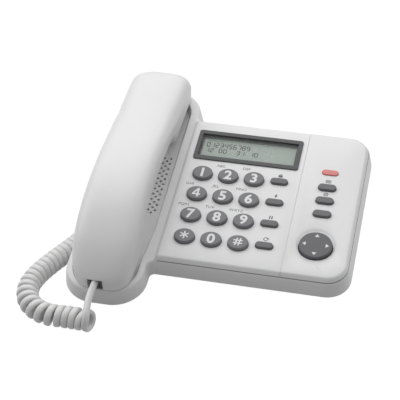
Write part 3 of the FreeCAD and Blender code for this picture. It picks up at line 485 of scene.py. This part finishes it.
# Keypad: twelve oval dial keys and seven pill keys in dark grey ABS, each on a flange under the plate and a
# rubber mat below. The digits are printed in white on top; crossed strokes lie one on the other.
key_grey = (0.185, 0.185, 0.194)
pill_grey = (0.135, 0.135, 0.142)
digit_white = (0.78, 0.78, 0.79)
dial_key_top = 2.6
digit_height = 7.8
digit_weight = 0.03
stroke_step = 0.01
four_slope = [[(-2.9, -1.0), (-2.9, -2.25), (2.7, -2.25), (2.7, -1.0)],
              [(-2.9, -1.0), (-1.4, -1.0), (0.3, 1.6), (0.3, 3.9)]]
four_stem = [[(0.3, -3.9), (1.65, -3.9), (1.65, 3.9), (0.3, 3.9)]]
star_stroke = (6.4, 1.0)
star_leans = (30, 90, 150)
hash_stroke = 0.95
hash_size = (6.2, 6.6)
hash_spread = 1.15
hash_lean = -9
key_finish = plastic("key_grey", key_grey, roughness=0.42, grain=2400.0, drift=0.08)
pill_finish = plastic("pill_grey", pill_grey, roughness=0.42, grain=2400.0, drift=0.08)
white_ink = plastic("key_white_ink", digit_white, roughness=0.5, grain=3000.0, depth=0.00001, drift=0.04)


def digit_strokes(name):
    """Outlines of a mark that is drawn in strokes, one layer on the other, or none for a plain figure."""
    if name == "4":
        return [four_slope, four_stem]
    if name == "star":
        return [bar(0, 0, *star_stroke, lean) for lean in star_leans]
    if name == "hash":
        uprights = [bar(side * hash_spread, 0, hash_stroke, hash_size[1], hash_lean) for side in (-1, 1)]
        levels = [bar(0, side * hash_spread, hash_size[0], hash_stroke) for side in (-1, 1)]
        return [sum(uprights, []), sum(levels, [])]
    return []


for name, (x, y) in dial_places.items():
    dressed("key_" + name, key_finish, angle=60.0)
    digit = Print()
    strokes = digit_strokes(name)
    for layer, stroke in enumerate(strokes):
        digit.outline(stroke, x, y, dial_key_top + layer * stroke_step)
    if not strokes:
        figure = glyphs("6" if name == "9" else name, digit_height, digit_weight)
        if name == "9":
            figure.transform(Matrix.Rotation(math.pi, 4, "Z"))
        digit.glyph(figure, x, y, dial_key_top)
    digit.piece("digit_" + name, white_ink, "key_" + name + "_body")
for name in (*small_key_places, *right_key_places):
    dressed("key_" + name, pill_finish, angle=60.0)

# Navigation key: a round rocker in dark grey ABS, tilted on a pivot to four sides. Four white triangles are
# printed near its rim.
nav_centre = (87.4, -51.9)
nav_top = 2.3
nav_grey = (0.112, 0.112, 0.12)
arrow_reach = 7.4
arrow_width = 2.7
arrow_length = 2.3
unit_triangle_radius = 2 / 3
nav_finish = plastic("nav_grey", nav_grey, roughness=0.38, grain=2400.0, drift=0.08)
dressed("nav_key", nav_finish, angle=60.0)
arrows = Growth("nav_arrows", reach=arrow_reach, width=arrow_width, length=arrow_length, ink=print_height)
ring = arrows.node("GeometryNodeMeshCircle", {}, {"Vertices": 4, "Radius": arrows.size("reach")})
triangle = arrows.node("GeometryNodeMeshCircle", {"fill_type": "NGON"}, {
    "Vertices": 3, "Radius": unit_triangle_radius})
stretch = arrows.node("ShaderNodeCombineXYZ", {}, {0: arrows.size("length"), 1: arrows.size("width"), 2: 1.0})
pointed = arrows.node("GeometryNodeTransform", {}, {"Geometry": triangle, "Scale": stretch})
raised = arrows.node("GeometryNodeExtrudeMesh", {"mode": "FACES"}, {
    "Mesh": pointed, "Offset Scale": arrows.size("ink")})
underneath = arrows.node("GeometryNodeFlipFaces", {}, {"Mesh": pointed})
closed = arrows.node("GeometryNodeJoinGeometry", {}, {0: [raised, underneath]})
spot = arrows.node("GeometryNodeInputPosition", {}, {})
outward = arrows.node("FunctionNodeAlignRotationToVector", {"axis": "X"}, {"Vector": spot})
around = arrows.node("GeometryNodeInstanceOnPoints", {}, {
    "Points": ring, "Instance": closed, "Rotation": outward})
nav_print = arrows.grown("nav_arrow_print", [(0, 0, 0)], around, white_ink)
nav_print.data.transform(panel_frame @ Matrix.Translation((*nav_centre, nav_top)))
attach(nav_print, "nav")

# Display: a dark grey bezel set in the plate, a clear acrylic window and a grey-green liquid crystal panel
# under it. Two rows of dark seven-bar digits stand at its left.
display_centre = (27.2, 28.0)
lcd_level = -2.6
digit_rows = [("0123456789", 3.6, 4.0), ("12 00  31 10", -1.7, 3.6)]
digit_left = -30.6
digit_step = 3.2
digit_width = 0.62 * digit_step
bar_share = 0.9
bar_thickness = 0.72
bars_on = {"0": "abcdef", "1": "bc", "2": "abged", "3": "abgcd", "4": "fgbc", "5": "afgcd", "6": "afgedc",
           "7": "abc", "8": "abcdefg", "9": "abcfgd", " ": ""}
bar_places = {"a": (0.5, 1.0, 0), "b": (1.0, 0.75, 90), "c": (1.0, 0.25, 90), "d": (0.5, 0.0, 0),
              "e": (0.0, 0.25, 90), "f": (0.0, 0.75, 90), "g": (0.5, 0.5, 0)}
bezel_grey = (0.062, 0.062, 0.066)
window_clear = (0.92, 0.94, 0.93)
lcd_green = (0.30, 0.365, 0.318)
lcd_black = (0.03, 0.035, 0.032)


def coated(node, finish):
    """A finish on a solid that stays as it is."""
    slots = frame["nodes"][node].data.materials
    slots.clear()
    slots.append(finish)


bezel_finish = plastic("bezel_grey", bezel_grey, roughness=0.33, grain=2000.0, depth=0.00001, drift=0.08)
window_finish = plastic(
    "clear_acrylic", window_clear, roughness=0.08, grain=900.0, depth=0.000002, drift=0.01, Alpha=0.07)
lcd_finish = plastic("lcd_grey_green", lcd_green, roughness=0.25, grain=700.0, depth=0.000004, drift=0.08)
lcd_ink = plastic("lcd_dark", lcd_black, roughness=0.4, grain=900.0, depth=0.000002, drift=0.1)
dressed("display_bezel", bezel_finish, angle=30.0)
coated("display_window", window_finish)
dressed("lcd_panel", lcd_finish, angle=30.0)
lcd_marks = Print()
for text, row, height in digit_rows:
    for number, character in enumerate(text):
        for segment in bars_on[character]:
            px, py, lean = bar_places[segment]
            length = height / 2 if lean else digit_width
            x = display_centre[0] + digit_left + number * digit_step + px * digit_width
            y = display_centre[1] + row + (py - 0.5) * height
            lcd_marks.outline(bar(0, 0, length * bar_share, bar_thickness, lean), x, y, lcd_level)
lcd_marks.piece("lcd_digits", lcd_ink, "base")

# Message lamp: a pill of red translucent acrylic over a small light. It is pressed into the plate from behind
# and stands a little proud of it.
lamp_red = (0.74, 0.235, 0.22)
lamp_finish = plastic("lamp_red", lamp_red, roughness=0.28, grain=1200.0, depth=0.000004, drift=0.1)
dressed("lamp_lens", lamp_finish, angle=50.0)

# Handset: two white mouldings joined along the side, the upper one crowned, the lower one set in a little and
# drawn down to a blunt ear cap over the cradle. Two screws from below close it over the receiver, the
# microphone and a steel weight.
handset_white = (0.80, 0.798, 0.80)
plug_clear = (0.62, 0.62, 0.60)
handset_middle = -46.0
lower_inset = 0.982
cap_front = (23.0, 29.5)
cap_fade = (28.0, 44.0)
cap_push = 7.2
cap_parting = 11.7
cap_parting_slope = -0.225
cap_depth = 9.0
cap_room = 0.7
cradle_reach = 0.05
handset_screw_reach = 0.0096
handset_finish = plastic("handset_white", handset_white, roughness=0.36, grain=2600.0)
plug_finish = plastic("plug_clear", plug_clear, roughness=0.2, grain=900.0, depth=0.000004, drift=0.1)
dressed("handset_top_shell", handset_finish, angle=30.0)
lower_shell = dressed("handset_bottom_shell", handset_finish, angle=30.0)
cradle_mesh = frame["nodes"]["upper_case"].data
cradle = BVHTree.FromPolygons(
    [v.co for v in cradle_mesh.vertices], [f.vertices for f in cradle_mesh.polygons])
to_panel = panel_frame.inverted()


def smooth_step(low, high, value):
    share = min(max((value - low) / (high - low), 0.0), 1.0)
    return share * share * (3 - 2 * share)


for vert in lower_shell.data.vertices:
    spot = to_panel @ vert.co
    push = cap_push * smooth_step(*cap_front, spot.y) * (1 - smooth_step(*cap_fade, spot.y))
    parting = cap_parting + (spot.y - cap_fade[0]) * cap_parting_slope
    push *= min(max((parting - spot.z) / cap_depth, 0.0), 1.0)
    below = cradle.ray_cast(vert.co, -panel_up, cradle_reach)[3]
    if below is not None:
        push = min(push, max(below / millimetre - cap_room, 0.0))
    spot.z -= push
    spot.x = handset_middle + (spot.x - handset_middle) * lower_inset
    vert.co = panel_frame @ spot
screws("handset_screw_set", "handset_screws", handset_screw_reach)
dressed("handset_plug", plug_finish, angle=30.0)
dressed("base_plug", plug_finish, angle=30.0)

# Curly cord: one white vinyl cord of flattened section, wound in a tight helix whose first turn is drawn
# open. It leaves the handset's front, lies on the table round the left side by its own weight, and ends in
# the socket at the back left.
cord_white = (0.76, 0.758, 0.755)
cord_width = 0.0045
cord_thickness = 0.0034
cord_sides = 16
section_power = 0.7
section_turn = 0.35
straight_limit = 10.0
coil_radius = 0.0058
inner_pitch = 0.0046
points_per_turn = 18
first_turn = 0.25
end_opening = 0.0035
axis_steps = 24
cord_steps = 3
smallest_step = 1e-9
coil_axis = [
    (-0.0637, -0.1197, 0.0082),
    (-0.0800, -0.1183, 0.0078),
    (-0.0930, -0.1194, 0.0077),
    (-0.1040, -0.1145, 0.0077),
    (-0.1115, -0.1055, 0.0077),
    (-0.1146, -0.0935, 0.0077),
    (-0.1130, -0.0810, 0.0077),
    (-0.1078, -0.0660, 0.0077),
    (-0.0993, -0.0475, 0.0077),
    (-0.0925, -0.0300, 0.0077),
    (-0.0905, -0.0100, 0.0077),
    (-0.0920, 0.0120, 0.0077),
    (-0.0970, 0.0350, 0.0078),
    (-0.1020, 0.0560, 0.0094),
]
handset_lead = [
    (-0.06775, -0.08766, 0.02036),
    (-0.06775, -0.0965, 0.0198),
    (-0.0678, -0.1065, 0.0190),
    (-0.0669, -0.1165, 0.0176),
    (-0.0655, -0.1240, 0.0140),
]
base_lead = [
    (-0.0981, 0.0574, 0.0040),
    (-0.0900, 0.0602, 0.0043),
    (-0.0815, 0.0620, 0.0092),
    (-0.07295, 0.0620, 0.0095),
]
lying_end = (-0.1079, -0.0731, 0.012)
lifted_end = (-0.06775, -0.0877, 0.012)


def smooth_line(name, points, steps):
    """Points read along a smooth spline that has the given control points."""
    line = bpy.data.curves.new(name, "CURVE")
    line.dimensions = "3D"
    spline = line.splines.new("NURBS")
    spline.points.add(len(points) - 1)
    for control, point in zip(spline.points, points):
        control.co = (*point, 1.0)
    spline.order_u = 3
    spline.use_endpoint_u = True
    line.resolution_u = steps
    carrier = bpy.data.objects.new(name, line)
    bpy.context.scene.collection.objects.link(carrier)
    mesh = bpy.data.meshes.new_from_object(carrier.evaluated_get(bpy.context.evaluated_depsgraph_get()))
    found = [v.co.copy() for v in mesh.vertices]
    bpy.data.objects.remove(carrier)
    return found


class Station:
    """A place on the coil's middle line: its heading, bend, way along and the turns wound up to it."""

    def __init__(self, spot, heading, bend, way):
        self.spot = spot
        self.heading = heading
        self.bend = bend
        self.way = way
        self.wound = 0.0


axis_line = smooth_line("coil_axis", coil_axis, axis_steps)
stations = []
way = 0.0
for before, here, after in zip(axis_line, axis_line[1:], axis_line[2:]):
    step = (after - here).length
    bend = (after - here).angle(here - before) / max(step, smallest_step)
    stations.append(Station(here, (after - before).normalized(), bend, way))
    way += step
wound = 0.0
for station, following in zip(stations, [s.way for s in stations[1:]] + [way]):
    near = [s.bend for s in stations if abs(s.way - station.way) < coil_radius]
    station.wound = wound
    wound += (following - station.way) * (1 - coil_radius * sum(near) / len(near)) / inner_pitch
whole_turns = math.floor(wound + 0.5) - 0.5
turns = []
cursor = 0
for count in range(int(first_turn * points_per_turn), int(whole_turns * points_per_turn) + 1):
    wanted = count / points_per_turn * wound / whole_turns
    while cursor + 2 < len(stations) and stations[cursor + 1].wound < wanted:
        cursor += 1
    first, second = stations[cursor], stations[cursor + 1]
    share = (wanted - first.wound) / max(second.wound - first.wound, smallest_step)
    centre = first.spot.lerp(second.spot, share)
    heading = first.heading.lerp(second.heading, share).normalized()
    side = heading.cross(Vector((0, 0, 1))).normalized()
    up = side.cross(heading)
    angle = 2 * math.pi * count / points_per_turn
    past_first = min(count / points_per_turn - first_turn, 1.0)
    opened = max(0.0, math.sin(math.pi * past_first)) ** 2 * end_opening
    turns.append(centre - heading * opened + (up * math.cos(angle) - side * math.sin(angle)) * coil_radius)
cord_line = smooth_line("cord_line", [*handset_lead, *turns, *base_lead], cord_steps)


def rounded(value):
    """A sine or cosine pushed outwards, which squares an oval section."""
    return math.copysign(abs(value) ** section_power, value)


def band(name, line, width, thickness, sides):
    """Closed tube of flattened section along a line, with its width across the bend, as in a wound cord."""
    shape = bmesh.new()
    inward = (line[1] - line[0]).normalized().orthogonal()
    last = len(line) - 1
    rings = []
    for index, spot in enumerate(line):
        before, after = line[max(index - 1, 0)], line[min(index + 1, last)]
        ahead = (after - before).normalized()
        bend = (before + after) / 2 - spot
        if index not in (0, last) and bend.length > straight_limit * (after - before).length_squared:
            inward = inward.lerp(bend.normalized(), section_turn)
        inward = (inward - ahead * inward.dot(ahead)).normalized()
        across = ahead.cross(inward)
        ring = []
        for n in range(sides):
            turn = 2 * math.pi * n / sides
            wide = rounded(math.cos(turn)) * width / 2
            deep = rounded(math.sin(turn)) * thickness / 2
            ring.append(shape.verts.new(spot + across * wide + inward * deep))
        rings.append(ring)
    for first, second in zip(rings, rings[1:]):
        for n in range(sides):
            m = (n + 1) % sides
            shape.faces.new((first[n], first[m], second[m], second[n]))
    shape.faces.new(rings[0][::-1])
    shape.faces.new(rings[-1])
    mesh = bpy.data.meshes.new(name)
    shape.to_mesh(mesh)
    shape.free()
    mesh.shade_smooth()
    made = bpy.data.objects.new(name, mesh)
    bpy.context.scene.collection.objects.link(made)
    return made


cord_finish = plastic("cord_vinyl", cord_white, roughness=0.34, grain=1400.0, drift=0.06)
cord = band("curly_cord", cord_line, cord_width, cord_thickness, cord_sides)
cord.data.materials.append(cord_finish)
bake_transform(cord, "base", "handset", start=lying_end, end=lifted_end)
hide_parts("cord_coil", "cord_handset_lead", "cord_base_lead")

# Inner works: the circuit board with its rubber key mat, the loudspeaker, the hook switch, the sockets and
# the handset's receiver and microphone. They are screwed or pressed in, each with its own material's finish.
board_finish = plastic("board_green", (0.05, 0.19, 0.09), roughness=0.45, grain=600.0, drift=0.25)
mat_finish = plastic("mat_silicone", (0.58, 0.58, 0.56), roughness=0.6, grain=900.0, drift=0.06)
black_finish = plastic("black_moulding", (0.03, 0.03, 0.032), roughness=0.45, grain=1500.0, drift=0.2)
rubber_finish = plastic(
    "soft_black_rubber", (0.04, 0.04, 0.04), roughness=0.75, grain=1500.0, depth=0.00004, drift=0.2)
weight_finish = plastic(
    "weight_steel", (0.5, 0.5, 0.51), roughness=0.42, grain=500.0, depth=0.00003, drift=0.2, Metallic=1.0)
capsule_finish = plastic(
    "capsule_aluminium", (0.78, 0.78, 0.79), roughness=0.38, grain=700.0, drift=0.1, Metallic=1.0)
inner_finishes = {
    "main_board": board_finish, "keypad_mat": mat_finish, "lcd_connectors": mat_finish,
    "lamp_led": lamp_finish, "loudspeaker": black_finish, "hook_switch": black_finish,
    "hook_plunger": key_finish, "line_socket": black_finish, "cord_socket": black_finish,
    "ballast_plate": weight_finish, "nav_pivot": black_finish, "receiver_capsule": capsule_finish,
    "receiver_seal": rubber_finish, "microphone": capsule_finish, "microphone_boot": rubber_finish,
    "handset_weight": weight_finish, "handset_socket": black_finish,
}
for node, finish in inner_finishes.items():
    coated(node, finish)

# Studio: a pale floor that is white to the camera and keeps a faint shadow, one broad soft light above and
# behind the phone, a weak fill from either side, and the camera at the photograph's angle.
floor_size = 6.0
floor_grey = (0.34, 0.34, 0.34, 1.0)
floor_share = 0.86
floor_glow = 1.16
pure_white = (1.0, 1.0, 1.0, 1.0)
sky_strength = 0.37
camera_place = (0.1430, -0.7267, 0.5396)
camera_axes = ((0.976, 0.2176, 0.0), (-0.1232, 0.5525, 0.8244), (0.1794, -0.8046, 0.566))
camera_clip = 0.01
sensor_width = 36.0
image_pixels = 400.0
focal_pixels = 1294.0
edge = floor_size / 2
floor_corners = [(-edge, -edge, 0), (edge, -edge, 0), (edge, edge, 0), (-edge, edge, 0)]
floor_mesh = bpy.data.meshes.new("floor")
floor_mesh.from_pydata(floor_corners, [], [(0, 1, 2, 3)])
floor = bpy.data.objects.new("floor", floor_mesh)
bpy.context.scene.collection.objects.link(floor)
floor_finish = bpy.data.materials.new("floor_white")
floor_finish.use_nodes = True
floor_tree = floor_finish.node_tree
floor_tree.nodes.remove(floor_tree.nodes["Principled BSDF"])
start = Shade(floor_tree)
seen = start.node("ShaderNodeLightPath", {}, {}, "Is Camera Ray")
mirrored = start.node("ShaderNodeLightPath", {}, {}, "Is Glossy Ray")
through = start.node("ShaderNodeLightPath", {}, {}, "Is Transmission Ray")
shown = start.sum("MINIMUM", seen + mirrored + through, 1.0) * floor_share
matt = start.node("ShaderNodeBsdfDiffuse", {}, {"Color": floor_grey})
glow = start.node("ShaderNodeEmission", {}, {"Color": pure_white, "Strength": floor_glow})
mixed = start.node("ShaderNodeMixShader", {}, {0: shown, 1: matt, 2: glow})
floor_tree.links.new(mixed.socket, floor_tree.nodes["Material Output"].inputs["Surface"])
floor_mesh.materials.append(floor_finish)

world = bpy.data.worlds.new("studio")
bpy.context.scene.world = world
world.use_nodes = True
start = Shade(world.node_tree)
seen = start.node("ShaderNodeLightPath", {}, {}, "Is Camera Ray")
sky = seen * (1 - sky_strength) + sky_strength
background = world.node_tree.nodes["Background"]
background.inputs["Color"].default_value = pure_white
world.node_tree.links.new(sky.socket, background.inputs["Strength"])


def lamp(name, place, target, size, power):
    """Square soft light that faces a point."""
    light = bpy.data.lights.new(name, "AREA")
    light.size = size
    light.energy = power
    stand = bpy.data.objects.new(name, light)
    stand.location = place
    stand.rotation_euler = (Vector(target) - Vector(place)).to_track_quat("-Z", "Y").to_euler()
    bpy.context.scene.collection.objects.link(stand)


lamp("top_light", place=(-0.30, 0.62, 1.25), target=(-0.03, 0, 0.02), size=2.0, power=17.0)
lamp("left_fill", place=(-1.2, -0.10, 0.8), target=(-0.06, 0, 0.03), size=0.7, power=3.8)
lamp("right_fill", place=(1.0, 0.45, 0.75), target=(-0.05, 0, 0.04), size=0.7, power=2.3)

camera = bpy.data.cameras.new("camera")
camera.sensor_width = sensor_width
camera.lens = sensor_width * focal_pixels / image_pixels
camera.clip_start = camera_clip
viewer = bpy.data.objects.new("camera", camera)
viewer.matrix_world = Matrix.Translation(camera_place) @ Matrix(camera_axes).transposed().to_4x4()
bpy.context.scene.collection.objects.link(viewer)
bpy.context.scene.camera = viewer
bpy.context.scene.view_settings.view_transform = "Standard"
